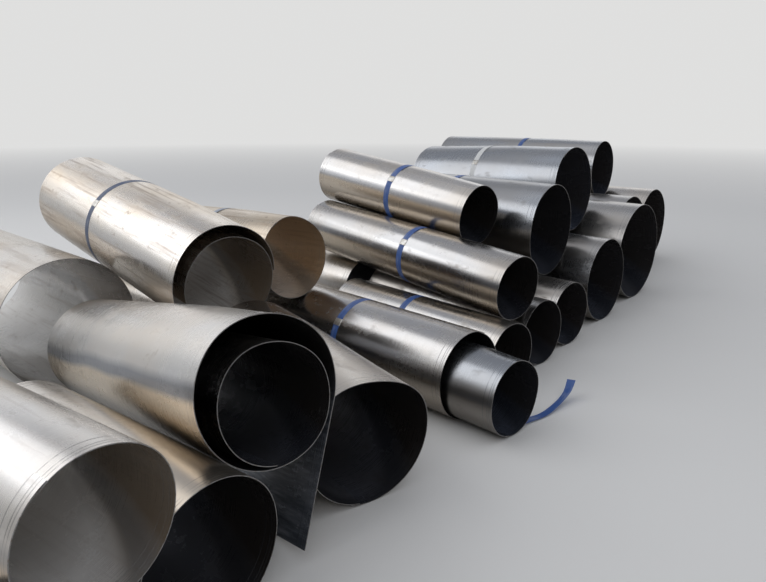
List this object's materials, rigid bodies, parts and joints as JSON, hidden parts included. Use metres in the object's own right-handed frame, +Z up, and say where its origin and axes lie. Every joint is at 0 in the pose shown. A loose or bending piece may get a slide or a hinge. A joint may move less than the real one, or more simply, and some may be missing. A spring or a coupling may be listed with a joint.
{
  "type": "stack of steel tubes",
  "caption": "Heap of loosely rolled steel sheets lying side by side as open tubes in two and three layers, some tied with flat straps.",
  "frame": {"origin": "floor level under the middle of the heap's bounding box", "axes": "+X along the heap away from the nearest roll, +Y from the open near ends to the far ends, +Z up"},
  "size_m": [8.1027, 4.4495, 1.3528],
  "materials": {
    "steel_sheet": "satin mill finish",
    "strap": "satin"
  },
  "bodies": {
    "root": {"back_left_roll": "steel_sheet", "back_roll_1": "steel_sheet", "back_roll_2": "steel_sheet", "bronze_roll": "steel_sheet", "corner_roll": "steel_sheet", "crescent_roll": "steel_sheet", "edge_roll": "steel_sheet", "end_roll": "steel_sheet", "inner_roll": "steel_sheet", "lidded_roll": "steel_sheet", "low_roll_1": "steel_sheet", "low_roll_2": "steel_sheet", "low_roll_3": "steel_sheet", "low_roll_4": "steel_sheet", "low_roll_5": "steel_sheet", "low_roll_6": "steel_sheet", "open_roll": "steel_sheet", "outer_roll": "steel_sheet", "side_roll": "steel_sheet", "smooth_roll": "steel_sheet", "straps": "strap", "tail_roll": "steel_sheet", "tall_roll": "steel_sheet", "top_roll": "steel_sheet", "under_roll": "steel_sheet"}
  },
  "joints": []
}
